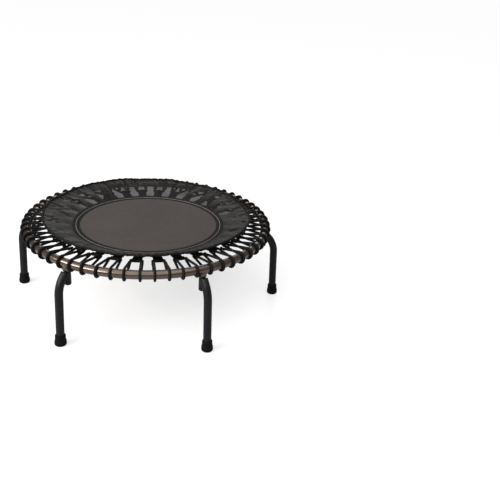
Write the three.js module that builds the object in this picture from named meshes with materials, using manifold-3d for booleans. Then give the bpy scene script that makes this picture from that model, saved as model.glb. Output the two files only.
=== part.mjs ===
// Mini trampoline: a round steel ring on six arched bolt-on legs, with a jumping mat hung inside it on
// elastic cords. Millimetres, +Z up. The origin is on the floor, on the ring's axis. Leg 1 points along +X.

import * as THREE from 'three';
import { mergeVertices } from 'three/addons/utils/BufferGeometryUtils.js';
import Module from 'manifold-3d';

const wasm = await Module();
wasm.setup();

// Clearance that two touching pieces keep.
const GAP = 0.3;

// Ring: a hollow steel tube bent into a circle.
const RING_RADIUS = 478.5;
const RING_HEIGHT = 309;
const RING_TUBE_RADIUS = 16.5;
const RING_WALL = 2.4;
const RING_SEGMENTS = 60;

// Legs: a straight spigot that plugs into the ring, and an arched tube welded to its outer side.
const LEG_COUNT = 6;
const LEG_TUBE_RADIUS = 15.2;
const LEG_WALL = 2;
const LEG_FOOT_RADIUS = 535;
const LEG_KNEE_RADIUS = 526.5;
const LEG_KNEE_HEIGHT = 200;
const LEG_BEND_RADIUS = 100;
const LEG_BEND_END = THREE.MathUtils.degToRad(45);
const LEG_BEND_STEPS = 5;
const LEG_ARCH_RUN_IN = 12;
const SPIGOT_RADIUS = 12.7;
const SPIGOT_BOTTOM = 224;
const SPIGOT_TOP = 308.6;
const SPIGOT_PLUG = 10;
const SPIGOT_PLUG_FLAT = 8.3;
const SPIGOT_PLUG_ROUND = 5;

// Sockets: short tubes welded under the ring that take the spigots.
const SOCKET_RADIUS = 15.5;
const SOCKET_BORE = 13.5;
const SOCKET_BOTTOM = 282;
const SOCKET_TOP = 300;

// Leg bolts: one button-head screw through each socket, turned away from the leg's outward direction.
const BOLT_HEIGHT = 288.4;
const BOLT_TURN = THREE.MathUtils.degToRad(-60);
const BOLT_SHANK_RADIUS = 3;
const BOLT_HEAD_RADIUS = 5;
const BOLT_HEAD_HEIGHT = 3.2;
const BOLT_HEAD_FLAT = 3;
const BOLT_LENGTH = 10;

// Rubber feet.
const FOOT_RADIUS = 22;
const FOOT_COLLAR_RADIUS = 19.4;
const FOOT_HEIGHT = 42;
const FOOT_BORE = 16.3;
const FOOT_SOLE = 7;
const FOOT_EDGE = 4;
const FOOT_SHOULDER = 14.7;
const FOOT_NECK = 29.4;

// Mat: a woven disc with one webbing strap for each cord, which passes through the eyelet at the strap's end.
const MAT_RADIUS = 312;
const MAT_THICKNESS = 2.4;
const MAT_MIDDLE = 303.6;
const MAT_TOP = MAT_MIDDLE + MAT_THICKNESS / 2;
const STRAP_COUNT = 30;
const STRAP_WIDTH = 36;
const STRAP_THICKNESS = 3;
const STRAP_START = 309;
const EYELET_RADIUS = 368;
const EYELET_HEIGHT = 309;
const EYELET_OUTER = 8.3;
const EYELET_INNER = 6;
const EYELET_NECK = 7.7;

// Rim band: the webbing ring sewn on the mat where the skirt starts.
const BAND_INNER = 277.5;
const BAND_OUTER = 307.5;
const BAND_THICKNESS = 1.6;

// Skirt: a thin nylon cone that flares up over the eyelets.
const SKIRT_INNER = 308;
const SKIRT_OUTER = 417;
const SKIRT_RISE = 44;
const SKIRT_THICKNESS = 2;

// Cords: each passes through one eyelet, and both halves loop round the ring, come back over it and end in a
// knot at the eyelet's mouth.
const CORD_RADIUS = 4.8;
const CORD_SIDES = 6;
const CORD_LOOP_TURN = Math.PI / STRAP_COUNT / 2;
const CORD_WRAP_RADIUS = 23.6;
const CORD_WRAP_STEPS = 4;
const CORD_EYELET_REACH = STRAP_WIDTH / 2 + CORD_RADIUS + GAP;
const CORD_END = new THREE.Vector3(383, 19, 316.5);
const KNOT_RADIUS = 7.2;

// How far a cutter reaches past what it cuts.
const CUT_MARGIN = 5;
const CUT_BLOCK = 100;

const POWDER_BLACK = { color: 0x17181c, roughness: 0.42, metalness: 0.3 };
const FINISHES = {
  ring: { color: 0x6d5848, roughness: 0.32, metalness: 0.85 },
  leg: POWDER_BLACK,
  bolt: { color: 0x101010, roughness: 0.4, metalness: 0.8 },
  rubber: { color: 0x0c0c0d, roughness: 0.75, metalness: 0 },
  mat: { color: 0x57524f, roughness: 0.8, metalness: 0 },
  band: { color: 0x1b1a1b, roughness: 0.85, metalness: 0 },
  skirt: { color: 0x191819, roughness: 0.35, metalness: 0 },
  cord: { color: 0x0a0a0b, roughness: 0.7, metalness: 0 },
};

const model = new THREE.Group();

// A path that stops exactly at each station, with the mean of the two runs as its direction there.
class StationPath extends THREE.Curve {
  constructor(stations) {
    super();
    this.stations = stations;
  }

  getPoint(t, target = new THREE.Vector3()) {
    const place = t * (this.stations.length - 1);
    const first = Math.min(Math.floor(place), this.stations.length - 2);
    return target.lerpVectors(this.stations[first], this.stations[first + 1], place - first);
  }

  getPointAt(u, target) {
    return this.getPoint(u, target);
  }

  getTangentAt(u, target = new THREE.Vector3()) {
    const last = this.stations.length - 1;
    const at = Math.round(u * last);
    target.set(0, 0, 0);
    for (const start of [Math.max(at - 1, 0), Math.min(at, last - 1)]) {
      target.add(this.stations[start + 1].clone().sub(this.stations[start]).normalize());
    }
    return target.normalize();
  }
}

function solidOf(geometry) {
  const bare = geometry.clone();
  bare.deleteAttribute('normal');
  bare.deleteAttribute('uv');
  const merged = mergeVertices(bare);
  return new wasm.Manifold(new wasm.Mesh({
    numProp: 3,
    vertProperties: new Float32Array(merged.attributes.position.array),
    triVerts: new Uint32Array(merged.index.array),
  }));
}

function geometryOf(solid) {
  const mesh = solid.getMesh();
  const geometry = new THREE.BufferGeometry();
  geometry.setAttribute('position', new THREE.BufferAttribute(mesh.vertProperties, 3));
  geometry.setIndex(new THREE.BufferAttribute(mesh.triVerts, 1));
  return geometry;
}

// A body of revolution about +Z. The profile lists [radius, height] anticlockwise.
function turned(profile, segments) {
  const points = profile.map(([radius, height]) => new THREE.Vector2(radius, height));
  return new THREE.LatheGeometry(points, segments).rotateX(Math.PI / 2);
}

// A turned body that doesn't reach its own axis, so its profile closes on itself.
function turnedRing(profile, segments) {
  return turned([...profile, profile[0]], segments);
}

// A plain rod about +Z between two heights.
function rod(radius, bottom, top, segments) {
  return turned([[0, bottom], [radius, bottom], [radius, top], [0, top]], segments);
}

function polygon(radius, sides) {
  const corners = [];
  for (let i = 0; i < sides; i += 1) {
    const angle = (2 * Math.PI * i) / sides;
    corners.push(new THREE.Vector2(radius * Math.cos(angle), radius * Math.sin(angle)));
  }
  return corners;
}

function tubeAlong(stations, radius, sides) {
  return new THREE.ExtrudeGeometry(new THREE.Shape(polygon(radius, sides)), {
    steps: stations.length - 1,
    extrudePath: new StationPath(stations),
    bevelEnabled: false,
  });
}

function torus(tubeRadius, sides) {
  const section = polygon(tubeRadius, sides);
  const profile = section.map((corner) => [RING_RADIUS + corner.x, RING_HEIGHT + corner.y]);
  return turnedRing(profile, RING_SEGMENTS);
}

function add(parent, name, geometry, finish) {
  const mesh = new THREE.Mesh(geometry, new THREE.MeshStandardMaterial(FINISHES[finish]));
  mesh.name = name;
  parent.add(mesh);
}

// Cuts the same hole at each of a number of even turns about +Z.
function cutAround(solid, cutter, count) {
  let cut = solid;
  for (let i = 0; i < count; i += 1) {
    cut = cut.subtract(solidOf(cutter.clone().rotateZ((2 * Math.PI * i) / count)));
  }
  return cut;
}

function ringTube() {
  const spigotHole = rod(SPIGOT_RADIUS + 3 * GAP, SOCKET_BOTTOM, SPIGOT_TOP + 2 * GAP, 12);
  const shell = solidOf(torus(RING_TUBE_RADIUS, 12)).subtract(solidOf(torus(RING_TUBE_RADIUS - RING_WALL, 6)));
  return geometryOf(cutAround(shell, spigotHole.translate(RING_RADIUS, 0, 0), LEG_COUNT));
}

// The bolt's own line, from the spigot's axis outwards.
function alongBolt(geometry) {
  return geometry.rotateY(Math.PI / 2).rotateZ(BOLT_TURN).translate(RING_RADIUS, 0, BOLT_HEIGHT);
}

function boltHole() {
  const reach = SOCKET_RADIUS + CUT_MARGIN;
  return solidOf(alongBolt(rod(BOLT_SHANK_RADIUS + 2 * GAP, BOLT_SHANK_RADIUS, reach, 10)));
}

function legSocket() {
  const tube = turnedRing(
    [
      [SOCKET_BORE, SOCKET_BOTTOM],
      [SOCKET_RADIUS, SOCKET_BOTTOM],
      [SOCKET_RADIUS, SOCKET_TOP],
      [SOCKET_BORE, SOCKET_TOP],
    ],
    16,
  ).translate(RING_RADIUS, 0, 0);
  const reach = SOCKET_RADIUS + CUT_MARGIN;
  const ringSpace = rod(RING_TUBE_RADIUS + 3 * GAP, -reach, reach, 16)
    .rotateX(Math.PI / 2)
    .translate(RING_RADIUS, 0, RING_HEIGHT);
  return geometryOf(solidOf(tube).subtract(solidOf(ringSpace)).subtract(boltHole()));
}

function legBolt() {
  const headBase = SOCKET_RADIUS + GAP;
  const headTop = headBase + BOLT_HEAD_HEIGHT;
  const profile = [
    [0, headBase - BOLT_LENGTH],
    [BOLT_SHANK_RADIUS, headBase - BOLT_LENGTH],
    [BOLT_SHANK_RADIUS, headBase],
    [BOLT_HEAD_RADIUS, headBase],
    [BOLT_HEAD_RADIUS, headBase + BOLT_HEAD_HEIGHT / 2],
    [BOLT_HEAD_FLAT, headTop],
    [0, headTop],
  ];
  return alongBolt(turned(profile, 10));
}

// The lean of the leg's straight run, from vertical.
const LEG_LEAN = Math.atan2(LEG_FOOT_RADIUS - LEG_KNEE_RADIUS, LEG_KNEE_HEIGHT);

function onLegLine(height) {
  return new THREE.Vector3(LEG_FOOT_RADIUS - height * Math.tan(LEG_LEAN), 0, height);
}

// The arched tube's centre line from a height near the floor up to the spigot.
function archStations(bottom) {
  const stations = [onLegLine(bottom)];
  let last;
  for (let i = 0; i <= LEG_BEND_STEPS; i += 1) {
    const turn = THREE.MathUtils.lerp(LEG_LEAN, LEG_BEND_END, i / LEG_BEND_STEPS);
    last = new THREE.Vector3(
      LEG_KNEE_RADIUS - LEG_BEND_RADIUS * (Math.cos(LEG_LEAN) - Math.cos(turn)),
      0,
      LEG_KNEE_HEIGHT + LEG_BEND_RADIUS * (Math.sin(turn) - Math.sin(LEG_LEAN)),
    );
    stations.push(last);
  }
  const runIn = new THREE.Vector3(-Math.sin(LEG_BEND_END), 0, Math.cos(LEG_BEND_END));
  stations.push(last.clone().addScaledVector(runIn, LEG_ARCH_RUN_IN));
  return stations;
}

function leg() {
  const arch = solidOf(tubeAlong(archStations(FOOT_SOLE + GAP), LEG_TUBE_RADIUS, 12));
  const archBore = solidOf(tubeAlong(archStations(0), LEG_TUBE_RADIUS - LEG_WALL, 8));
  const aboveSocketEdge = new THREE.BoxGeometry(CUT_BLOCK, CUT_BLOCK, CUT_BLOCK)
    .translate(RING_RADIUS, 0, SOCKET_BOTTOM - GAP + CUT_BLOCK / 2);
  const spigot = turned(
    [
      [0, SPIGOT_BOTTOM],
      [SPIGOT_PLUG_FLAT, SPIGOT_BOTTOM],
      [SPIGOT_RADIUS, SPIGOT_BOTTOM + SPIGOT_PLUG_ROUND],
      [SPIGOT_RADIUS, SPIGOT_TOP],
      [0, SPIGOT_TOP],
    ],
    12,
  ).translate(RING_RADIUS, 0, 0);
  const spigotBore = rod(SPIGOT_RADIUS - LEG_WALL, SPIGOT_BOTTOM + SPIGOT_PLUG, SPIGOT_TOP + CUT_MARGIN, 8)
    .translate(RING_RADIUS, 0, 0);
  const welded = arch.subtract(archBore).subtract(solidOf(aboveSocketEdge)).add(solidOf(spigot));
  return geometryOf(welded.subtract(solidOf(spigotBore)).subtract(boltHole()));
}

function foot() {
  const cup = turned(
    [
      [0, -CUT_MARGIN],
      [FOOT_RADIUS - FOOT_EDGE, -CUT_MARGIN],
      [FOOT_RADIUS - FOOT_EDGE, 0],
      [FOOT_RADIUS, FOOT_EDGE],
      [FOOT_RADIUS, FOOT_SHOULDER],
      [FOOT_COLLAR_RADIUS, FOOT_NECK],
      [FOOT_COLLAR_RADIUS, FOOT_HEIGHT],
      [FOOT_BORE, FOOT_HEIGHT],
      [FOOT_BORE, FOOT_SOLE],
      [0, FOOT_SOLE],
    ],
    12,
  ).rotateY(-LEG_LEAN).translate(LEG_FOOT_RADIUS, 0, 0);
  const underFloor = new THREE.BoxGeometry(CUT_BLOCK, CUT_BLOCK, CUT_BLOCK)
    .translate(LEG_FOOT_RADIUS, 0, -CUT_BLOCK / 2);
  return geometryOf(solidOf(cup).subtract(solidOf(underFloor)));
}

// One webbing strap with its eyelet, seen from the side and drawn out to its width. It rises from the mat's
// edge to its eyelet.
function strap() {
  const axis = new THREE.Vector2(EYELET_RADIUS, EYELET_HEIGHT);
  const wall = polygon(EYELET_OUTER, 6).map((corner) => corner.add(axis));
  const bore = polygon(EYELET_INNER, 6).map((corner) => corner.add(axis));
  const neck = EYELET_RADIUS - EYELET_NECK;
  const outline = [
    new THREE.Vector2(STRAP_START, MAT_TOP - STRAP_THICKNESS),
    new THREE.Vector2(neck, EYELET_HEIGHT - STRAP_THICKNESS / 2),
    ...[4, 5, 0, 1, 2].map((corner) => wall[corner]),
    new THREE.Vector2(neck, EYELET_HEIGHT + STRAP_THICKNESS / 2),
    new THREE.Vector2(STRAP_START, MAT_TOP),
  ];
  const shape = new THREE.Shape(outline);
  shape.holes.push(new THREE.Path(bore));
  return new THREE.ExtrudeGeometry(shape, { depth: STRAP_WIDTH, bevelEnabled: false })
    .rotateX(Math.PI / 2)
    .translate(0, STRAP_WIDTH / 2, 0);
}

function strapAngle(index) {
  return (2 * Math.PI * (index + 0.5)) / STRAP_COUNT;
}

function jumpingMat() {
  const bottom = MAT_MIDDLE - MAT_THICKNESS / 2;
  let mat = solidOf(rod(MAT_RADIUS, bottom, bottom + MAT_THICKNESS, RING_SEGMENTS));
  const oneStrap = strap();
  for (let i = 0; i < STRAP_COUNT; i += 1) {
    mat = mat.add(solidOf(oneStrap.clone().rotateZ(strapAngle(i))));
  }
  return geometryOf(mat);
}

function rimBand() {
  const bottom = MAT_TOP + GAP;
  const top = bottom + BAND_THICKNESS;
  return turnedRing(
    [[BAND_INNER, bottom], [BAND_OUTER, bottom], [BAND_OUTER, top], [BAND_INNER, top]],
    RING_SEGMENTS,
  );
}

function skirt() {
  const bottom = MAT_TOP + GAP;
  return turnedRing(
    [
      [SKIRT_INNER, bottom],
      [SKIRT_OUTER, bottom + SKIRT_RISE],
      [SKIRT_OUTER, bottom + SKIRT_RISE + SKIRT_THICKNESS],
      [SKIRT_INNER, bottom + SKIRT_THICKNESS],
    ],
    RING_SEGMENTS,
  );
}

// Half a cord, from its end on top of the eyelet, round the ring and back to the eyelet's mouth.
function halfCord() {
  const stations = [CORD_END.clone()];
  for (let i = 0; i <= CORD_WRAP_STEPS; i += 1) {
    const turn = Math.PI / 2 - (Math.PI * i) / CORD_WRAP_STEPS;
    const out = RING_RADIUS + CORD_WRAP_RADIUS * Math.cos(turn);
    stations.push(new THREE.Vector3(
      out * Math.cos(CORD_LOOP_TURN),
      out * Math.sin(CORD_LOOP_TURN),
      RING_HEIGHT + CORD_WRAP_RADIUS * Math.sin(turn),
    ));
  }
  stations.push(new THREE.Vector3(EYELET_RADIUS, CORD_EYELET_REACH, EYELET_HEIGHT));
  return stations;
}

function cord() {
  const left = halfCord();
  const right = halfCord().reverse().map((station) => station.setY(-station.y));
  let solid = solidOf(tubeAlong([...left, ...right], CORD_RADIUS, CORD_SIDES));
  for (const side of [-1, 1]) {
    const knot = new THREE.SphereGeometry(KNOT_RADIUS, 6, 4);
    solid = solid.add(solidOf(knot.translate(CORD_END.x, side * CORD_END.y, CORD_END.z)));
  }
  return geometryOf(solid);
}

add(model, 'ring_tube', ringTube(), 'ring');

const LEG_PIECES = [
  ['leg_socket', legSocket(), 'ring'],
  ['leg', leg(), 'leg'],
  ['leg_bolt', legBolt(), 'bolt'],
  ['foot', foot(), 'rubber'],
];
for (let i = 0; i < LEG_COUNT; i += 1) {
  const station = new THREE.Group();
  station.rotation.z = (2 * Math.PI * i) / LEG_COUNT;
  for (const [name, geometry, finish] of LEG_PIECES) {
    add(station, `${name}_${i + 1}`, geometry, finish);
  }
  model.add(station);
}

add(model, 'jumping_mat', jumpingMat(), 'mat');
add(model, 'rim_band', rimBand(), 'band');
add(model, 'skirt', skirt(), 'skirt');

const oneCord = cord();
for (let i = 0; i < STRAP_COUNT; i += 1) {
  const station = new THREE.Group();
  station.rotation.z = strapAngle(i);
  add(station, `cord_${String(i + 1).padStart(2, '0')}`, oneCord, 'cord');
  model.add(station);
}

export default model;
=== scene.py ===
"""Mini trampoline: a bronze steel ring on six black legs, with a woven mat hung in it on elastic cords.

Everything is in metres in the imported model's frame. The origin is on the floor on the ring's axis, and leg 1
is on +X.
"""

import math
import random

import bmesh
import bpy
from mathutils import Matrix, Vector, noise

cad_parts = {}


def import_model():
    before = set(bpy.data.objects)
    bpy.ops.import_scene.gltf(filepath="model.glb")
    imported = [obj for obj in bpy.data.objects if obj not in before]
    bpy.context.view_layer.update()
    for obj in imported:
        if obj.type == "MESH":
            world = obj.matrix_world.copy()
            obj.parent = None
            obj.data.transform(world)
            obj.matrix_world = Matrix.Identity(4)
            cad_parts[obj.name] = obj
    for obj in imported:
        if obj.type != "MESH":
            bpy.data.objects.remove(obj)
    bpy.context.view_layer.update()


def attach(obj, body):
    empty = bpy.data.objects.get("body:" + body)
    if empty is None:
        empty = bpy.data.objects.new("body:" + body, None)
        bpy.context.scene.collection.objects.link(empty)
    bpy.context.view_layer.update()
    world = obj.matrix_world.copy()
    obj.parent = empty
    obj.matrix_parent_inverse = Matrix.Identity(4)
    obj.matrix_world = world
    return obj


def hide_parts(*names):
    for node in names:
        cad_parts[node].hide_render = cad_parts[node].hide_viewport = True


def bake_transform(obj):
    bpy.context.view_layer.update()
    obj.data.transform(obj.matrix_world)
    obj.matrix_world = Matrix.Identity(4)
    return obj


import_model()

# The ring: a steel tube bent into a circle.
RING_RADIUS = 0.4785
RING_HEIGHT = 0.309
RING_TUBE = 0.0165

# Legs: an arched tube that leans outward, welded to an upright spigot.
LEG_COUNT = 6
LEG_TUBE = 0.0152
LEG_FOOT_RADIUS = 0.535
LEG_KNEE_RADIUS = 0.5265
LEG_KNEE_HEIGHT = 0.200
LEG_BEND_RADIUS = 0.100
LEG_BEND_END = math.radians(45)
LEG_LEAN = math.atan2(LEG_FOOT_RADIUS - LEG_KNEE_RADIUS, LEG_KNEE_HEIGHT)
LEG_RUN_IN = 0.012
LEG_BOTTOM = 0.012
SPIGOT = 0.0127
SPIGOT_BOTTOM = 0.224

# Sockets under the ring, and the screw in each.
SOCKET = 0.0155
SOCKET_BORE = 0.0135
SOCKET_BOTTOM = 0.282
LEG_TOP = SOCKET_BOTTOM - 0.0003
BOLT_HEIGHT = 0.2884
BOLT_TURN = math.radians(-60)
BOLT_HEAD = 0.005
BOLT_HEAD_HEIGHT = 0.0032
BOLT_RECESS = 0.0019
BOLT_RECESS_DEPTH = 0.002

# Rubber feet.
FOOT = 0.0220
FOOT_COLLAR = 0.0194
FOOT_HEIGHT = 0.042

# Mat, its straps, and the tapes of the rim band.
MAT_RADIUS = 0.312
MAT_HEIGHT = 0.3036
MAT_THICKNESS = 0.0020
MAT_TOP = MAT_HEIGHT + MAT_THICKNESS / 2
STRAP_COUNT = 30
STRAP_PITCH = 2 * math.pi / STRAP_COUNT
STRAP_WIDTH = 0.036
STRAP_THICKNESS = 0.0014
STRAP_START = 0.296
EYELET_RADIUS = 0.368
EYELET_HEIGHT = 0.309
EYELET_LOOP = 0.0066
INNER_TAPE = (0.2775, 0.2920)
OUTER_TAPE = (0.2948, 0.3125)
UNDER_TAPE = (0.2940, 0.3125)
INNER_TAPE_THICKNESS = 0.0014
OUTER_TAPE_THICKNESS = 0.0022
OUTER_TAPE_CROWN = 0.0007
PIPING_CIRCLE = 0.2934
PIPING = 0.00085
BAND_SEAMS = ((0.2800, 0.00135), (0.2893, 0.00135), (0.2970, 0.0023), (0.3105, 0.0023))
BAND_STITCH = 0.0034
BAND_THREAD = 0.00028
STRAP_STITCH = 0.0032
STRAP_THREAD = 0.0003

# Skirt: its seam, its hem and its cut size.
SKIRT_INNER = 0.3072
SKIRT_OUTER = 0.4155
SKIRT_BOTTOM = MAT_TOP + 0.0024
SKIRT_RISE = 0.0435
SKIRT_FLAT_OUTER = 0.4245
HEM = 0.0046

# Cords: the knot and the loop are those of the half on the +Y side of a cord on +X.
CORD = 0.0048
CORD_LOOP_TURN = math.radians(3)
CORD_WRAP = 0.0212
CORD_WRAP_END = math.radians(98)
CORD_KNOT = Vector((0.390, 0.019, 0.3170))
CORD_MOUTH = 0.0150
KNOT_LOOP = 0.0015
KNOT_CORD = 0.0032
KNOT_TAIL = 0.0040

CAMERA_PLACE = (0.2920, -2.3916, 1.3155)
CAMERA_HEADING = math.radians(3.21)
CAMERA_PITCH = math.radians(24.96)
CAMERA_ROLL = math.radians(4.06)
CAMERA_LENS = 44.70


# ---- Mesh building ----


class Shape:
    """Vertices and faces, with a weave coordinate for each vertex: metres along, metres across, a shade."""

    def __init__(self):
        self.points, self.faces, self.weave = [], [], []

    def rows(self, rows, weave=None, round_rows=False, round_columns=False):
        """Quads between rows of points. Each row has the same number of points."""
        first = len(self.points)
        width = len(rows[0])
        for i, row in enumerate(rows):
            for j, point in enumerate(row):
                self.points.append(Vector(point))
                self.weave.append(weave(i, j) if weave else (0.0, 0.0, 0.0))
        for i in range(len(rows) if round_rows else len(rows) - 1):
            for j in range(width if round_columns else width - 1):
                a = first + i * width + j
                b = first + i * width + (j + 1) % width
                c = first + ((i + 1) % len(rows)) * width
                self.faces.append((a, b, c + (j + 1) % width, c + j))
        return first

    def cap(self, first, count):
        self.faces.append(tuple(range(first, first + count)))

    def add(self, other, matrix=None):
        first = len(self.points)
        matrix = matrix or Matrix.Identity(4)
        self.points += [matrix @ p for p in other.points]
        self.weave += other.weave
        self.faces += [tuple(first + v for v in face) for face in other.faces]
        return self


def about_z(angle):
    return Matrix.Rotation(angle, 4, "Z")


def circle(count, turn=0.0):
    return [(math.cos(a), math.sin(a)) for a in (turn + 2 * math.pi * i / count for i in range(count))]


def revolved(profile, segments, round_profile=False):
    """A body of revolution about +Z. The profile lists (radius, height)."""
    shape = Shape()
    rows = [[(r * c, r * s, z) for c, s in circle(segments)] for r, z in profile]
    lengths = [0.0]
    for (r0, z0), (r1, z1) in zip(profile, profile[1:]):
        lengths.append(lengths[-1] + math.hypot(r1 - r0, z1 - z0))
    radius = max(r for r, z in profile)

    def weave(i, j):
        return (2 * math.pi * radius * j / segments, lengths[i], 0.0)

    shape.rows(rows, weave, round_rows=round_profile, round_columns=True)
    return shape


def frames(path, closed=False):
    """Tangent, side and up at each point of a path, carried along without twist."""
    path = [Vector(p) for p in path]
    count = len(path)
    tangents = []
    for i in range(count):
        before = path[(i - 1) % count] if closed or i else path[0]
        after = path[(i + 1) % count] if closed or i < count - 1 else path[-1]
        tangents.append((after - before).normalized())
    up = Vector((0, 0, 1)) if abs(tangents[0].z) < 0.9 else Vector((1, 0, 0))
    side = tangents[0].cross(up).normalized()
    made = []
    for i, tangent in enumerate(tangents):
        if i:
            side = tangents[i - 1].rotation_difference(tangent) @ side
        side = (side - tangent * side.dot(tangent)).normalized()
        made.append((tangent, side, side.cross(tangent)))
    return made


def swept(path, radius, sides, closed=False):
    """A round tube along a path. The radius may be a function of the point's number."""
    shape = Shape()
    along, far = [], 0.0
    for i, point in enumerate(path):
        far += (Vector(point) - Vector(path[i - 1])).length if i else 0.0
        along.append(far)
    ring = circle(sides)
    rows = []
    for i, (point, (_, side, up)) in enumerate(zip(path, frames(path, closed))):
        r = radius(i) if callable(radius) else radius
        rows.append([Vector(point) + side * (c * r) + up * (s * r) for c, s in ring])
    first = shape.rows(rows, lambda i, j: (along[i], j / sides, 0.0), round_rows=closed, round_columns=True)
    if not closed:
        shape.cap(first, sides)
        shape.cap(first + (len(rows) - 1) * sides, sides)
    return shape


def piece(name, shape, material, matrix=None, sharp=40):
    """A smooth-shaded object from a shape. Edges steeper than the sharp angle stay sharp."""
    mesh = bpy.data.meshes.new(name)
    mesh.from_pydata(shape.points, [], shape.faces)
    attribute = mesh.attributes.new("weave", "FLOAT_VECTOR", "POINT")
    attribute.data.foreach_set("vector", [x for w in shape.weave for x in w])
    work = bmesh.new()
    work.from_mesh(mesh)
    bmesh.ops.recalc_face_normals(work, faces=work.faces)
    work.to_mesh(mesh)
    work.free()
    mesh.shade_smooth()
    mesh.set_sharp_from_angle(angle=math.radians(sharp))
    return placed(name, mesh, material, matrix)


def placed(name, mesh, material, matrix=None):
    """An object from a mesh, with its material."""
    made = bpy.data.objects.new(name, mesh)
    bpy.context.scene.collection.objects.link(made)
    if not mesh.materials:
        mesh.materials.append(material)
    if matrix is not None:
        made.matrix_world = matrix
    return made


def joined(name, shapes):
    """One closed mesh from several that overlap."""
    objects = []
    for i, shape in enumerate(shapes):
        mesh = bpy.data.meshes.new(f"{name}_{i}")
        mesh.from_pydata(shape.points, [], shape.faces)
        work = bmesh.new()
        work.from_mesh(mesh)
        bmesh.ops.recalc_face_normals(work, faces=work.faces)
        bmesh.ops.triangulate(work, faces=[f for f in work.faces if len(f.verts) > 4])
        work.to_mesh(mesh)
        work.free()
        made = bpy.data.objects.new(mesh.name, mesh)
        bpy.context.scene.collection.objects.link(made)
        objects.append(made)
    for other in objects[1:]:
        cut = objects[0].modifiers.new("join", "BOOLEAN")
        cut.operation = "UNION"
        cut.solver = "EXACT"
        cut.object = other
    bpy.context.view_layer.update()
    depsgraph = bpy.context.evaluated_depsgraph_get()
    mesh = bpy.data.meshes.new_from_object(objects[0].evaluated_get(depsgraph))
    mesh.name = name
    for made in objects:
        bpy.data.objects.remove(made)
    return mesh


# ---- Materials ----


class Nodes:
    """A material's node tree, built from short calls. A Principled shader is its surface."""

    def __init__(self, name, **values):
        self.material = bpy.data.materials.new(name)
        self.material.use_nodes = True
        self.tree = self.material.node_tree
        self.shader = self.tree.nodes["Principled BSDF"]
        for socket, value in values.items():
            self.shader.inputs[socket.replace("_", " ")].default_value = value

    def add(self, kind, inputs=None, **settings):
        node = self.tree.nodes.new(kind)
        for key, value in settings.items():
            setattr(node, key, value)
        for key, value in (inputs or {}).items():
            self.set(node.inputs[key], value)
        return node

    def set(self, socket, value):
        if isinstance(value, bpy.types.NodeSocket):
            self.tree.links.new(value, socket)
        else:
            socket.default_value = value

    def surface(self, **values):
        for socket, value in values.items():
            self.set(self.shader.inputs[socket.replace("_", " ")], value)

    def place(self):
        return self.add("ShaderNodeTexCoord").outputs["Object"]

    def weave(self):
        return self.add("ShaderNodeAttribute", attribute_name="weave").outputs["Vector"]

    def apart(self, vector):
        return self.add("ShaderNodeSeparateXYZ", {"Vector": vector}).outputs

    def math(self, operation, a, b=0.0):
        return self.add("ShaderNodeMath", {0: a, 1: b}, operation=operation).outputs[0]

    def noise(self, scale, detail=3.0):
        inputs = {"Vector": self.place(), "Scale": scale, "Detail": detail, "Roughness": 0.55}
        return self.add("ShaderNodeTexNoise", inputs).outputs["Fac"]

    def spread(self, value, low, high, start=0.0, end=1.0):
        inputs = {"Value": value, "From Min": start, "From Max": end, "To Min": low, "To Max": high}
        return self.add("ShaderNodeMapRange", inputs, clamp=True).outputs["Result"]

    def ramp(self, value, stops):
        node = self.add("ShaderNodeValToRGB", {"Fac": value})
        elements = node.color_ramp.elements
        while len(elements) < len(stops):
            elements.new(0.5)
        for element, (at, colour) in zip(elements, stops):
            element.position = at
            element.color = (*colour, 1)
        return node.outputs["Color"]

    def blend(self, share, a, b, kind="MIX"):
        node = self.add("ShaderNodeMix", data_type="RGBA", blend_type=kind)
        for at, value in ((0, share), (6, a), (7, b)):
            self.set(node.inputs[at], value)
        return node.outputs[2]

    def bump(self, height, distance, strength=1.0, normal=None):
        inputs = {"Height": height, "Distance": distance, "Strength": strength}
        if normal is not None:
            inputs["Normal"] = normal
        return self.add("ShaderNodeBump", inputs).outputs["Normal"]

    def half(self, turn):
        """A cosine of an angle, from 0 to 1."""
        cosine = self.math("COSINE", turn)
        return self.math("MULTIPLY", self.math("ADD", cosine, 1.0), 0.5)

    def stripes(self, along, along_count, around, around_count):
        """Slanting stripes, so many to a metre along and so many round or across."""
        a = self.math("MULTIPLY", along, along_count)
        b = self.math("MULTIPLY", around, around_count)
        return self.half(self.math("MULTIPLY", self.math("ADD", a, b), math.tau))


def bronze_paint():
    """Satin metallic paint over steel: fine flake, slight orange peel, a few darker clouds."""
    n = Nodes("ring_paint", Metallic=0.92, Coat_Weight=0.6, Coat_Roughness=0.18)
    flake = n.noise(900, detail=2)
    clouds = n.noise(14, detail=4)
    tint = n.ramp(clouds, [
        (0.3, (0.088, 0.066, 0.052)),
        (0.55, (0.120, 0.091, 0.072)),
        (0.8, (0.150, 0.116, 0.094)),
    ])
    spark = n.ramp(flake, [(0.35, (0.72, 0.70, 0.68)), (0.7, (1.0, 0.97, 0.93))])
    n.surface(
        Base_Color=n.blend(1.0, tint, spark, "MULTIPLY"),
        Roughness=n.spread(n.noise(60, detail=4), 0.20, 0.32, 0.3, 0.7),
        Normal=n.bump(n.noise(260, detail=2), 0.00012, 0.4),
    )
    return n.material


def black_powder():
    """Black powder coat with a slight blue tint and fine pebbling."""
    n = Nodes("leg_paint", Metallic=0.0, Specular_IOR_Level=0.2)
    clouds = n.noise(22, detail=5)
    n.surface(
        Base_Color=n.ramp(clouds, [(0.3, (0.0032, 0.0033, 0.0046)), (0.75, (0.0060, 0.0061, 0.0082))]),
        Roughness=n.spread(n.noise(90, detail=4), 0.34, 0.48, 0.3, 0.7),
        Normal=n.bump(n.noise(620, detail=3), 0.00025, 0.6),
    )
    return n.material


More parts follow.
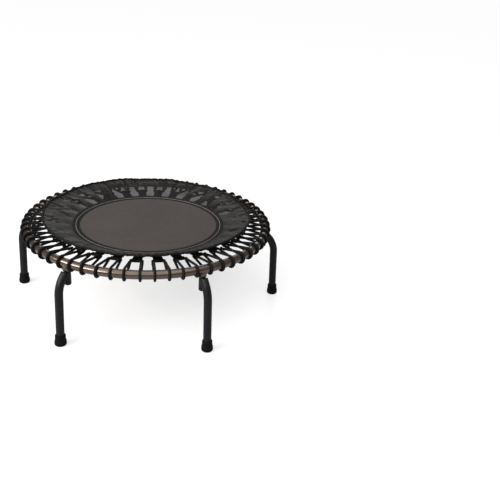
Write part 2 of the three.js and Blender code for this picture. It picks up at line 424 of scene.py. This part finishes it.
def bolt_steel():
    """Blackened steel, a little worn."""
    n = Nodes("bolt_steel", Metallic=0.85)
    wear = n.noise(300, detail=4)
    n.surface(
        Base_Color=n.ramp(wear, [(0.4, (0.018, 0.018, 0.019)), (0.8, (0.060, 0.058, 0.056))]),
        Roughness=n.spread(wear, 0.28, 0.5, 0.3, 0.7),
        Normal=n.bump(n.noise(1500), 0.0001, 0.5),
    )
    return n.material


def rubber():
    """Moulded black rubber with a fine grain and a little dust."""
    n = Nodes("foot_rubber", Specular_IOR_Level=0.1)
    dust = n.noise(48, detail=6)
    n.surface(
        Base_Color=n.ramp(dust, [(0.35, (0.0022, 0.0022, 0.0025)), (0.8, (0.0060, 0.0058, 0.0056))]),
        Roughness=n.spread(dust, 0.55, 0.8, 0.3, 0.7),
        Normal=n.bump(n.noise(1100, detail=4), 0.0003, 0.7),
    )
    return n.material


def cord_sheath():
    """A braided sheath: two sets of yarns that spiral opposite ways, darker between the yarns as painted
    shade.
    """
    n = Nodes("cord_sheath", Specular_IOR_Level=0.1, Sheen_Weight=0.03, Sheen_Roughness=0.5)
    along, around, _ = n.apart(n.weave())
    braid = n.math("MAXIMUM", n.stripes(along, 260, around, 8), n.stripes(along, 260, around, -8))
    n.surface(
        # Painted shade: the colour is darker in the gaps between the yarns.
        Base_Color=n.ramp(braid, [(0.2, (0.0015, 0.0015, 0.0017)), (0.9, (0.0060, 0.0058, 0.0060))]),
        Roughness=n.spread(n.noise(120), 0.55, 0.75, 0.3, 0.7),
        Normal=n.bump(braid, 0.0005, 0.8),
    )
    return n.material


def mat_weave():
    """Woven polypropylene: warp and weft tapes about 1.6 mm wide, passing over and under, darkened in the
    grooves between them as painted shade.
    """
    n = Nodes("mat_weave", Specular_IOR_Level=0.12)
    x, y, _ = n.apart(n.place())
    tapes = 620
    warp = n.half(n.math("MULTIPLY", x, 2 * math.pi * tapes))
    weft = n.half(n.math("MULTIPLY", y, 2 * math.pi * tapes))
    check = n.math("MULTIPLY", n.math("COSINE", n.math("MULTIPLY", x, math.pi * tapes)),
                   n.math("COSINE", n.math("MULTIPLY", y, math.pi * tapes)))
    over = n.math("GREATER_THAN", check, 0.0)
    tape = n.add("ShaderNodeMix", {0: over, 2: warp, 3: weft}, data_type="FLOAT").outputs[0]
    clouds = n.noise(5, detail=5)
    base = n.ramp(clouds, [(0.3, (0.056, 0.0480, 0.0460)), (0.7, (0.068, 0.0590, 0.0565))])
    # Painted shade: the tapes are darkened towards their edges, in the grooves between them.
    painted_groove_shade = n.ramp(tape, [(0.0, (0.55, 0.55, 0.55)), (0.6, (1.0, 1.0, 1.0))])
    n.surface(
        Base_Color=n.blend(1.0, base, painted_groove_shade, "MULTIPLY"),
        Roughness=n.spread(n.noise(40), 0.6, 0.72, 0.3, 0.7),
        Normal=n.bump(tape, 0.0004, 0.6),
    )
    return n.material


def webbing(name, dark, light, ribs=420, specular=0.25):
    """Narrow woven tape: ribs across it, and yarns along it, darker in the grooves between them as painted
    shade.
    """
    n = Nodes(name, Specular_IOR_Level=specular)
    along, across, _ = n.apart(n.weave())
    rib = n.half(n.math("MULTIPLY", along, 2 * math.pi * ribs))
    yarn = n.half(n.math("MULTIPLY", across, 2 * math.pi * 900))
    height = n.math("ADD", rib, n.math("MULTIPLY", yarn, 0.5))
    n.surface(
        # Painted shade: the colour is darker in the grooves between ribs and yarns.
        Base_Color=n.ramp(height, [(0.2, dark), (0.9, light)]),
        Roughness=n.spread(n.noise(70), 0.55, 0.72, 0.3, 0.7),
        Normal=n.bump(height, 0.0003, 0.7),
    )
    return n.material


def skirt_nylon():
    """Thin ripstop nylon, slightly see-through where it is seen squarely. Its colour is darkened in the folds:
    painted shade.
    """
    n = Nodes("skirt_nylon", Specular_IOR_Level=0.13, Sheen_Weight=0.05, Sheen_Roughness=0.3)
    along, across, fold_shade = n.apart(n.weave())
    ribs = 2 * math.pi * 700
    rib = n.math("MAXIMUM", n.half(n.math("MULTIPLY", along, ribs)), n.half(n.math("MULTIPLY", across, ribs)))
    clouds = n.noise(9, detail=4)
    base = n.ramp(clouds, [(0.3, (0.0040, 0.0031, 0.0028)), (0.7, (0.0072, 0.0058, 0.0053))])
    facing = n.add("ShaderNodeLayerWeight", {"Blend": 0.5}).outputs["Facing"]
    n.surface(
        # Painted shade: the colour is darkened where the cloth lies in a fold.
        Base_Color=n.blend(n.math("MULTIPLY", fold_shade, 0.8), base, (0.0015, 0.0014, 0.0013, 1)),
        Alpha=n.spread(facing, 0.900, 0.985, 0.30, 0.56),
        Roughness=n.spread(clouds, 0.34, 0.46, 0.3, 0.7),
        Normal=n.bump(n.noise(12, detail=2), 0.0060, 0.35, n.bump(rib, 0.00006, 0.5)),
    )
    return n.material


def thread(name, colour):
    """Twisted sewing thread, darker in the grooves of its twist as painted shade."""
    n = Nodes(name, Specular_IOR_Level=0.3)
    along, around, _ = n.apart(n.weave())
    twist = n.stripes(along, 900, around, 3)
    # Painted shade: the thread is darker in the grooves of its twist.
    twist_groove_shade = tuple(c * 0.6 for c in colour)
    n.surface(
        Base_Color=n.ramp(twist, [(0.2, twist_groove_shade), (0.8, colour)]),
        Roughness=n.spread(n.noise(200), 0.5, 0.7, 0.3, 0.7),
        Normal=n.bump(twist, 0.0001, 0.6),
    )
    return n.material


RING_PAINT = bronze_paint()
LEG_PAINT = black_powder()
BOLT_STEEL = bolt_steel()
RUBBER = rubber()
SHEATH = cord_sheath()
WEAVE = mat_weave()
# The first colour of each webbing is its groove colour, darkened as painted shade.
STRAP_WEBBING = webbing("strap_webbing", (0.0018, 0.0018, 0.0020), (0.0065, 0.0062, 0.0062), specular=0.1)
BAND_WEBBING = webbing("band_webbing", (0.0016, 0.0014, 0.0014), (0.0060, 0.0052, 0.0050), specular=0.12)
HEM_WEBBING = webbing("hem_webbing", (0.0015, 0.0015, 0.0015), (0.0060, 0.0058, 0.0056), specular=0.12)
NYLON = skirt_nylon()
PALE_THREAD = thread("pale_thread", (0.26, 0.245, 0.235))
DARK_THREAD = thread("dark_thread", (0.02, 0.019, 0.019))


# ---- Ring, sockets and legs ----


def saddle(turn):
    """Where a socket's outer wall meets the underside of the ring tube."""
    across = SOCKET * math.cos(turn)
    return RING_HEIGHT - math.sqrt(max(0.0, RING_TUBE ** 2 - across ** 2))


def ring_shape():
    profile = [(RING_RADIUS + RING_TUBE * c, RING_HEIGHT + RING_TUBE * s) for c, s in circle(40)]
    return revolved(profile, 360, round_profile=True)


def socket_shape():
    """A short tube whose top is cut to the ring tube, with a rounded mouth."""
    columns = circle(48)
    turns = [2 * math.pi * i / 48 for i in range(48)]
    rows = []
    for radius, height in ((SOCKET_BORE, SOCKET_BOTTOM + 0.016), (SOCKET_BORE, SOCKET_BOTTOM + 0.0012),
                           (SOCKET_BORE + 0.0006, SOCKET_BOTTOM), (SOCKET - 0.0006, SOCKET_BOTTOM),
                           (SOCKET, SOCKET_BOTTOM + 0.0008), (SOCKET, SOCKET_BOTTOM + 0.006)):
        rows.append([(RING_RADIUS + radius * c, radius * s, height) for c, s in columns])
    rows.append([(RING_RADIUS + SOCKET * c, SOCKET * s, saddle(t)) for (c, s), t in zip(columns, turns)])
    shape = Shape()
    shape.rows(rows, round_columns=True)
    return shape


def weld_shape():
    """The bead round a socket's top, with the ripples of a hand weld."""
    count = 144
    path = []
    for i in range(count):
        turn = 2 * math.pi * i / count
        path.append((RING_RADIUS + SOCKET * math.cos(turn), SOCKET * math.sin(turn), saddle(turn) - 0.0004))
    return swept(path, lambda i: 0.0016 + 0.0003 * math.cos(i * 1.05), 10, closed=True)


def arch_path():
    """The arched tube's centre line, from inside the foot to inside the spigot."""
    path = []
    for i in range(8):
        height = LEG_BOTTOM + (LEG_KNEE_HEIGHT - LEG_BOTTOM) * i / 8
        path.append((LEG_FOOT_RADIUS - height * math.tan(LEG_LEAN), 0, height))
    for i in range(25):
        turn = LEG_LEAN + (LEG_BEND_END - LEG_LEAN) * i / 24
        path.append((
            LEG_KNEE_RADIUS - LEG_BEND_RADIUS * (math.cos(LEG_LEAN) - math.cos(turn)),
            0,
            LEG_KNEE_HEIGHT + LEG_BEND_RADIUS * (math.sin(turn) - math.sin(LEG_LEAN)),
        ))
    x, _, z = path[-1]
    path.append((x - LEG_RUN_IN * math.sin(LEG_BEND_END), 0, z + LEG_RUN_IN * math.cos(LEG_BEND_END)))
    return path


def leg_mesh():
    """The arched tube and its spigot as one closed mesh, cut level just under the socket."""
    arch = swept(arch_path(), LEG_TUBE, 32)
    spigot_top = RING_HEIGHT - 0.006
    profile = [
        (0.0001, SPIGOT_BOTTOM),
        (SPIGOT * 0.55, SPIGOT_BOTTOM + 0.0003),
        (SPIGOT * 0.85, SPIGOT_BOTTOM + 0.0018),
        (SPIGOT, SPIGOT_BOTTOM + 0.006),
        (SPIGOT, spigot_top),
        (0.0001, spigot_top),
    ]
    spigot = revolved(profile, 32)
    spigot.points = [p + Vector((RING_RADIUS, 0, 0)) for p in spigot.points]
    work = bmesh.new()
    mesh = bpy.data.meshes.new("arch")
    mesh.from_pydata(arch.points, [], arch.faces)
    work.from_mesh(mesh)
    everything = list(work.verts) + list(work.edges) + list(work.faces)
    cut = bmesh.ops.bisect_plane(
        work,
        geom=everything,
        plane_co=(0, 0, LEG_TOP),
        plane_no=(0, 0, 1),
        clear_outer=True,
    )
    bmesh.ops.holes_fill(work, edges=[e for e in cut["geom_cut"] if isinstance(e, bmesh.types.BMEdge)])
    trimmed = Shape()
    work.verts.ensure_lookup_table()
    trimmed.points = [v.co.copy() for v in work.verts]
    trimmed.faces = [tuple(v.index for v in f.verts) for f in work.faces]
    work.free()
    made = joined("leg_tube", [trimmed, spigot])
    made.shade_smooth()
    made.set_sharp_from_angle(angle=math.radians(35))
    return made


def leg_weld_shape():
    """The bead along the line where the arch meets the spigot."""
    x, _, z = arch_path()[-1]
    path = []
    for i in range(73):
        turn = math.radians(-92 + 184 * i / 72)
        across = SPIGOT * math.sin(turn)
        here = RING_RADIUS + SPIGOT * math.cos(turn)
        reach = math.sqrt(LEG_TUBE ** 2 - across ** 2)
        path.append((here, across, z + x - here - math.sqrt(2) * reach))
    return swept(path, lambda i: 0.0014 + 0.00025 * math.cos(i * 1.05), 10)


def bolt_shape():
    """A button-head screw with a hexagonal recess, about +Z."""
    segments = 36
    shape = Shape()
    base = SOCKET - 0.0004
    dome = [(BOLT_HEAD, base), (BOLT_HEAD, base + 0.0012), (BOLT_HEAD * 0.93, base + 0.0021),
            (BOLT_HEAD * 0.78, base + 0.0028), (BOLT_HEAD * 0.6, base + BOLT_HEAD_HEIGHT)]
    rows = [[(r * c, r * s, z) for c, s in circle(segments)] for r, z in dome]
    hexagon = []
    for i in range(segments):
        turn = 2 * math.pi * i / segments
        hexagon.append(BOLT_RECESS / math.cos((turn + math.pi / 6) % (math.pi / 3) - math.pi / 6))
    for height in (base + BOLT_HEAD_HEIGHT, base + BOLT_HEAD_HEIGHT - BOLT_RECESS_DEPTH):
        rows.append([(h * c, h * s, height) for h, (c, s) in zip(hexagon, circle(segments))])
    first = shape.rows(rows, round_columns=True)
    shape.cap(first + (len(rows) - 1) * segments, segments)
    shape.cap(first, segments)
    return shape


def foot_shape():
    """A rubber cup that leans with its leg and is flat on the floor."""
    profile = [
        (0.0001, -0.004), (FOOT - 0.006, -0.004), (FOOT - 0.003, 0.0004), (FOOT - 0.0012, 0.0022),
        (FOOT, 0.0052), (FOOT + 0.0001, 0.010), (FOOT - 0.0002, 0.0145), (FOOT - 0.0009, 0.0195),
        (FOOT_COLLAR + 0.0003, 0.0255),
        (FOOT_COLLAR, 0.0290), (FOOT_COLLAR - 0.0005, 0.0300), (FOOT_COLLAR - 0.0005, 0.0312),
        (FOOT_COLLAR, 0.0322), (FOOT_COLLAR - 0.0002, 0.0395), (FOOT_COLLAR - 0.0010, 0.0414),
        (FOOT_COLLAR - 0.0022, FOOT_HEIGHT), (LEG_TUBE + 0.0012, FOOT_HEIGHT), (LEG_TUBE + 0.0003, 0.0412),
        (LEG_TUBE + 0.0003, 0.034),
    ]
    shape = revolved(profile, 56)
    lean = Matrix.Translation((LEG_FOOT_RADIUS, 0, 0)) @ Matrix.Rotation(-LEG_LEAN, 4, "Y")
    for i, point in enumerate(shape.points):
        place = lean @ point
        place.z = max(place.z, 0.0)
        shape.points[i] = place
    return shape


ring = piece("ring", ring_shape(), RING_PAINT)
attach(ring, "frame")
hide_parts("ring_tube")

socket = socket_shape()
weld = weld_shape()
leg_data = leg_mesh()
leg_weld = leg_weld_shape()
bolt = bolt_shape()
foot = foot_shape()
bolt_place = Matrix.Translation((RING_RADIUS, 0, BOLT_HEIGHT)) @ about_z(BOLT_TURN)
bolt_place = bolt_place @ Matrix.Rotation(math.pi / 2, 4, "Y")
for number in range(1, LEG_COUNT + 1):
    turn = about_z(2 * math.pi * (number - 1) / LEG_COUNT)
    made = piece(f"socket_{number}", socket, RING_PAINT, turn)
    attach(made, "frame")
    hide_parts(f"leg_socket_{number}")
    made = piece(f"socket_weld_{number}", weld, RING_PAINT, turn)
    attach(made, "frame")
    made = placed(f"leg_tube_{number}", leg_data, LEG_PAINT, turn)
    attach(made, "frame")
    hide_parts(f"leg_{number}")
    made = piece(f"leg_weld_{number}", leg_weld, LEG_PAINT, turn)
    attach(made, "frame")
    made = piece(f"bolt_{number}", bolt, BOLT_STEEL, turn @ bolt_place)
    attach(made, "frame")
    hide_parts(f"leg_bolt_{number}")
    made = piece(f"rubber_foot_{number}", foot, RUBBER, turn)
    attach(made, "frame")
    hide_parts(f"foot_{number}")


# ---- Mat, straps and rim band ----


def mat_shape():
    """The woven disc, a thin closed sheet."""
    radii = [0.0001, 0.04, 0.09, 0.14, 0.19, 0.24, 0.28, MAT_RADIUS - 0.0006, MAT_RADIUS]
    half = MAT_THICKNESS / 2
    top = [(r, MAT_HEIGHT + half) for r in radii[:-1]] + [(MAT_RADIUS, MAT_HEIGHT)]
    bottom = [(r, MAT_HEIGHT - half) for r in radii[:-1][::-1]]
    return revolved(top + bottom, 360)


def strap_line():
    """The webbing's own line, along the mat's top, up to the eyelet, round it and back under the mat."""
    lift = MAT_THICKNESS / 2 + STRAP_THICKNESS / 2
    neck = (EYELET_RADIUS - 0.0095, EYELET_HEIGHT - 0.0006)
    upper = [(STRAP_START + 0.004 * i, MAT_HEIGHT + lift) for i in range(5)]
    lower = [(STRAP_START + 0.004 * i, MAT_HEIGHT - lift) for i in range(5)]
    for line, side in ((upper, 1), (lower, -1)):
        start = line[-1]
        close = (neck[0], neck[1] + side * STRAP_THICKNESS / 2)
        for i in range(1, 9):
            line.append((start[0] + (close[0] - start[0]) * i / 8, start[1] + (close[1] - start[1]) * i / 8))
    loop = []
    for i in range(19):
        turn = math.radians(150 - 300 * i / 18)
        loop.append((
            EYELET_RADIUS + EYELET_LOOP * math.cos(turn),
            EYELET_HEIGHT + EYELET_LOOP * math.sin(turn),
        ))
    return upper + loop + lower[::-1]


def strap_shape():
    line = [Vector((r, 0, z)) for r, z in strap_line()]
    half_width, half_thick = STRAP_WIDTH / 2, STRAP_THICKNESS / 2
    section = [
        (-half_width, 0.0), (-half_width + 0.0004, half_thick), (-half_width / 3, half_thick),
        (half_width / 3, half_thick), (half_width - 0.0004, half_thick), (half_width, 0.0),
        (half_width - 0.0004, -half_thick), (half_width / 3, -half_thick), (-half_width / 3, -half_thick),
        (-half_width + 0.0004, -half_thick),
    ]
    rows, along, far = [], [], 0.0
    for i, point in enumerate(line):
        before, after = line[max(i - 1, 0)], line[min(i + 1, len(line) - 1)]
        direction = (after - before).normalized()
        out = Vector((-direction.z, 0, direction.x))
        rows.append([point + out * n + Vector((0, y, 0)) for y, n in section])
        far += (point - before).length
        along.append(far)
    shape = Shape()
    first = shape.rows(rows, lambda i, j: (along[i], section[j][0], 0.0), round_columns=True)
    shape.cap(first, len(section))
    shape.cap(first + (len(rows) - 1) * len(section), len(section))
    return shape


def stitch(a, b, up, thick):
    """One stitch: a short thread that dips into the cloth at both ends."""
    a, b, up = Vector(a), Vector(b), Vector(up)
    rise = ((0, -0.6), (0.15, 0.35), (0.5, 0.7), (0.85, 0.35), (1, -0.6))
    return swept([a.lerp(b, t) + up * (thick * h) for t, h in rise], thick, 6)


def round_seam(radius, height, pitch, thick):
    """A circle of stitches."""
    shape = Shape()
    count = round(2 * math.pi * radius / pitch)
    length = 0.72 * pitch
    one = stitch((radius, -length / 2, height), (radius, length / 2, height), (0, 0, 1), thick)
    for i in range(count):
        shape.add(one, about_z(2 * math.pi * i / count))
    return shape


def strap_seams():
    """Stitches across a strap on both faces: two rows on the mat's edge, and two just before the eyelet."""
    one = Shape()
    line = strap_line()
    side = STRAP_WIDTH / 2 - 0.0025
    count = round(2 * side / STRAP_STITCH)
    for radius in (STRAP_START + 0.0030, MAT_RADIUS - 0.0025, EYELET_RADIUS - 0.0165, EYELET_RADIUS - 0.0125):
        for face, half in ((1, line[: len(line) // 2]), (-1, line[len(line) // 2:][::-1])):
            before = [p for p in half if p[0] <= radius][-1]
            after = [p for p in half if p[0] > radius][0]
            share = (radius - before[0]) / (after[0] - before[0])
            height = before[1] + (after[1] - before[1]) * share + face * STRAP_THICKNESS / 2
            for i in range(count):
                y = [side * (2 * (i + t) / count - 1) for t in (0.14, 0.86)]
                one.add(stitch((radius, y[0], height), (radius, y[1], height), (0, 0, face), STRAP_THREAD))
    return one


def around_straps(one):
    shape = Shape()
    for i in range(STRAP_COUNT):
        shape.add(one, about_z(STRAP_PITCH * (i + 0.5)))
    return shape


def tape(inner, outer, thick, crown, base, face=1):
    """The section of a tape sewn on a face of the mat, with rounded edges and a middle that stands up."""
    count = 9
    made = [(inner, base - face * 0.0002)]
    for i in range(count):
        share = i / (count - 1)
        lift = thick * (0.5 + 0.5 * min(1.0, 6 * min(share, 1 - share))) + crown * math.sin(math.pi * share)
        made.append((inner + (outer - inner) * share, base + face * lift))
    return made + [(outer, base - face * 0.0002)]


def band_shape():
    """Two tapes side by side with a narrow gap for the piping, and one tape under the mat."""
    shape = Shape()
    for section in (
        tape(*INNER_TAPE, INNER_TAPE_THICKNESS, 0.0, MAT_TOP),
        tape(*OUTER_TAPE, OUTER_TAPE_THICKNESS, OUTER_TAPE_CROWN, MAT_TOP),
        tape(*UNDER_TAPE, OUTER_TAPE_THICKNESS, 0.0, MAT_HEIGHT - MAT_THICKNESS / 2, -1),
    ):
        shape.add(revolved(section, 360, round_profile=True))
    return shape


def piping_shape():
    profile = [(PIPING_CIRCLE + PIPING * c, MAT_TOP + 0.0006 + PIPING * s) for c, s in circle(12)]
    return revolved(profile, 360, round_profile=True)


mat = piece("mat_sheet", mat_shape(), WEAVE)
straps = piece("mat_straps", around_straps(strap_shape()), STRAP_WEBBING)
seams = piece("strap_stitches", around_straps(strap_seams()), DARK_THREAD)
band = piece("band", band_shape(), BAND_WEBBING)
piping = piece("band_piping", piping_shape(), PALE_THREAD)
band_seams = Shape()
for radius, height in BAND_SEAMS:
    band_seams.add(round_seam(radius, MAT_TOP + height, BAND_STITCH, BAND_THREAD))
stitches = piece("band_stitches", band_seams, DARK_THREAD)
for made in (mat, straps, seams, band, piping, stitches):
    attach(made, "mat")
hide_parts("jumping_mat")
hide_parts("rim_band")


# ---- Skirt ----


def smooth(low, high, value):
    share = min(1.0, max(0.0, (value - low) / (high - low)))
    return share * share * (3 - 2 * share)


def skirt_point(share, turn):
    """A point of the skirt, share of the way from its seam to its hem, and how deep in a fold it is, which
    darkens the nylon there as painted shade.
    """
    round_at = Vector((math.cos(turn), math.sin(turn), 0.0))
    slow = noise.noise(round_at * 2.3 + Vector((3.1, 0.7, 0.2)))
    mid = noise.noise(round_at * 7.0 + Vector((0.4, 5.2, share * 1.3)))
    fine = noise.noise(round_at * 21.0 + Vector((9.3, 1.1, share * 1.6)))
    offset = (turn / STRAP_PITCH) % 1.0 - 0.5
    wander = 0.10 * noise.noise(round_at * 11.0 + Vector((7.7, 2.2, share * 2.0)))
    depth = 0.75 + 0.5 * noise.noise(round_at * 9.0 + Vector((1.7, 8.1, 0.0)))
    crease = math.exp(-((offset + wander) / 0.10) ** 2)
    crease *= smooth(0.18, 0.55, share) * (1 - 0.75 * smooth(0.78, 0.98, share))
    gather = 0.0010 * math.sin(turn * 97 + 3 * slow) * smooth(0.55, 1.0, share)
    outline = 0.006 * slow + 0.006 * math.cos(turn - math.radians(140))
    radius = SKIRT_INNER + (SKIRT_OUTER + outline - SKIRT_INNER) * share
    lift = SKIRT_RISE * (share + 0.10 * math.sin(math.pi * share))
    loose = math.sin(math.pi * min(share, 0.92)) ** 0.8
    height = SKIRT_BOTTOM + lift + loose * (0.0105 * mid + 0.0010 * fine) + gather
    height += -0.0034 * crease * depth + 0.003 * slow * share
    radius += 0.0012 * fine * share
    return (radius * round_at.x, radius * round_at.y, height), crease * min(1.0, depth)


def skirt_shape():
    columns, rows = 1080, 36
    points, fold_shades = [], []
    for i in range(rows + 1):
        made = [skirt_point(i / rows, 2 * math.pi * j / columns) for j in range(columns)]
        points.append([p for p, _ in made])
        fold_shades.append([f for _, f in made])
    shape = Shape()
    length = SKIRT_FLAT_OUTER - SKIRT_INNER
    # The weave's third value is the painted shade in the folds.
    shape.rows(points, lambda i, j: (2.3 * j / columns, length * i / rows, fold_shades[i][j]), round_columns=True)
    return shape


def hem_shape():
    """The elastic hem: the cloth rolled round a cord and bunched along it."""
    count = 900
    path = [skirt_point(1.0, 2 * math.pi * i / count)[0] for i in range(count)]

    def radius(i):
        return HEM * (1 + 0.10 * math.cos(i * 2 * math.pi / 5) + 0.05 * math.cos(i * 0.37))

    return swept(path, radius, 12, closed=True)


skirt = piece("skirt_sheet", skirt_shape(), NYLON, sharp=80)
hem = piece("skirt_hem", hem_shape(), HEM_WEBBING)
for made in (skirt, hem):
    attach(made, "mat")
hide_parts("skirt")


# ---- Cords ----


def bezier(a, b, c, d, count):
    """Points on a cubic curve, without its first."""
    a, b, c, d = Vector(a), Vector(b), Vector(c), Vector(d)
    made = []
    for i in range(1, count + 1):
        t = i / count
        made.append(a * (1 - t) ** 3 + b * 3 * t * (1 - t) ** 2 + c * 3 * t * t * (1 - t) + d * t ** 3)
    return made


def half_cord(side, tweak):
    """From a knot, over the ring, round it and back under it to the eyelet's mouth."""
    loop_turn = side * (CORD_LOOP_TURN + tweak["turn"])
    away = Vector((math.cos(loop_turn), math.sin(loop_turn), 0))
    knot = Vector((CORD_KNOT.x + tweak["knot"], side * CORD_KNOT.y, CORD_KNOT.z))
    wrap = []
    for i in range(25):
        turn = CORD_WRAP_END * (1 - i / 12)
        out = RING_RADIUS + CORD_WRAP * math.cos(turn)
        wrap.append(away * out + Vector((0, 0, RING_HEIGHT + CORD_WRAP * math.sin(turn))))
    path = [knot.lerp(wrap[0], i / 10) for i in range(10)] + wrap
    mouth = Vector((EYELET_RADIUS, side * CORD_MOUTH, EYELET_HEIGHT))
    before = Vector((EYELET_RADIUS + 0.016, side * 0.0216, EYELET_HEIGHT - 0.0022))
    for i in range(1, 9):
        path.append(wrap[-1].lerp(before, i / 8))
    ahead = (before - wrap[-1]).normalized()
    path += bezier(before, before + ahead * 0.013, mouth + Vector((0, side * 0.0075, 0)), mouth, 8)
    return path


def knot_shape(centre, side):
    """A pulled-tight overhand knot with its cut tail."""
    shape = Shape()
    path = []
    for i in range(42):
        t = 2 * math.pi * i / 42
        path.append((
            centre.x + KNOT_LOOP * (math.sin(t) + 2 * math.sin(2 * t)),
            centre.y + 1.2 * KNOT_LOOP * math.sin(3 * t),
            centre.z + KNOT_LOOP * (math.cos(t) - 2 * math.cos(2 * t)),
        ))
    shape.add(swept(path, KNOT_CORD, 8, closed=True))
    tail = [centre + Vector((0.0016 * i, side * 0.0011 * i, -0.00012 * i * i)) for i in range(8)]
    shape.add(swept(tail, lambda i: KNOT_TAIL - 0.0009 * (i == 7), 10))
    return shape


def cord_shape(seed):
    draw = random.Random(seed)
    halves = []
    for side in (1, -1):
        tweak = {"turn": math.radians(draw.uniform(-0.25, 0.25)), "knot": draw.uniform(-0.003, 0.003)}
        halves.append((side, half_cord(side, tweak)))
    left, right = halves[0][1], halves[1][1]
    middle = [Vector((EYELET_RADIUS, y / 1000, EYELET_HEIGHT)) for y in (10, 5, 0, -5, -10)]
    shape = swept(left + middle + right[::-1], CORD, 12)
    for side, path in halves:
        shape.add(knot_shape(path[0], side))
    return shape


for number in range(1, STRAP_COUNT + 1):
    angle = STRAP_PITCH * (number - 0.5)
    shape = Shape().add(cord_shape(number), about_z(angle))
    made = piece(f"bungee_{number:02d}", shape, SHEATH)
    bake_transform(made)
    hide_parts(f"cord_{number:02d}")


# ---- Camera, floor and light ----


def camera():
    level_share = math.cos(CAMERA_PITCH)
    forward = Vector((
        math.sin(CAMERA_HEADING) * level_share,
        math.cos(CAMERA_HEADING) * level_share,
        -math.sin(CAMERA_PITCH),
    ))
    level = forward.cross(Vector((0, 0, 1))).normalized()
    above = level.cross(forward)
    right = level * math.cos(CAMERA_ROLL) + above * math.sin(CAMERA_ROLL)
    up = above * math.cos(CAMERA_ROLL) - level * math.sin(CAMERA_ROLL)
    data = bpy.data.cameras.new("camera")
    data.lens = CAMERA_LENS
    data.sensor_width = 36
    data.clip_end = 200
    made = bpy.data.objects.new("camera", data)
    bpy.context.scene.collection.objects.link(made)
    place = Matrix((right, up, -forward)).transposed().to_4x4()
    place.translation = Vector(CAMERA_PLACE)
    made.matrix_world = place
    bpy.context.scene.camera = made


def floor():
    """A pale studio floor that glows a little, more for the camera than as a light."""
    n = Nodes("floor", Specular_IOR_Level=0.1, Roughness=0.25)
    seen = n.add("ShaderNodeLightPath").outputs["Is Camera Ray"]
    n.surface(
        Base_Color=(0.40, 0.40, 0.405, 1),
        Emission_Color=(1, 1, 1, 1),
        Emission_Strength=n.spread(seen, 0.15, 0.60),
    )
    shape = Shape()
    far, low = 60, -0.0004
    shape.rows([[(-far, -far, low), (far, -far, low)], [(-far, far, low), (far, far, low)]])
    made = piece("floor", shape, n.material)


def world():
    """A white backdrop for the camera, and a dimmer, warmer surround that lights the object."""
    made = bpy.data.worlds.new("studio")
    made.use_nodes = True
    tree = made.node_tree
    nodes, links = tree.nodes, tree.links
    nodes.clear()
    output = nodes.new("ShaderNodeOutputWorld")
    seen = nodes.new("ShaderNodeBackground")
    seen.inputs["Color"].default_value = (1, 1, 1, 1)
    lit = nodes.new("ShaderNodeBackground")
    lit.inputs["Strength"].default_value = 0.30
    lit.inputs["Color"].default_value = (1.0, 0.985, 0.97, 1)
    mix = nodes.new("ShaderNodeMixShader")
    path = nodes.new("ShaderNodeLightPath")
    links.new(path.outputs["Is Camera Ray"], mix.inputs[0])
    links.new(lit.outputs[0], mix.inputs[1])
    links.new(seen.outputs[0], mix.inputs[2])
    links.new(mix.outputs[0], output.inputs["Surface"])
    bpy.context.scene.world = made


def area(name, place, target, size, power, colour=(1, 1, 1)):
    data = bpy.data.lights.new(name, "AREA")
    data.shape = "RECTANGLE"
    data.size, data.size_y = size
    data.energy = power
    data.color = colour
    made = bpy.data.objects.new(name, data)
    bpy.context.scene.collection.objects.link(made)
    made.location = place
    made.rotation_euler = (Vector(target) - Vector(place)).to_track_quat("-Z", "Y").to_euler()


def sun(name, direction, angle, strength):
    data = bpy.data.lights.new(name, "SUN")
    data.angle = math.radians(angle)
    data.energy = strength
    made = bpy.data.objects.new(name, data)
    bpy.context.scene.collection.objects.link(made)
    made.rotation_euler = Vector(direction).to_track_quat("-Z", "Y").to_euler()


camera()
floor()
world()
sun("sky", (0.15, 0.42, -1.0), 90, 2.7)
area("key", (-2.3, -1.7, 1.75), (0, 0, 0.3), (2.4, 0.75), 110, (1.0, 0.96, 0.92))
area("back", (0.2, 2.6, 1.8), (0, 0, 0.3), (3.4, 0.7), 16)
bpy.context.scene.view_settings.view_transform = "Standard"
bpy.context.scene.view_settings.look = "None"
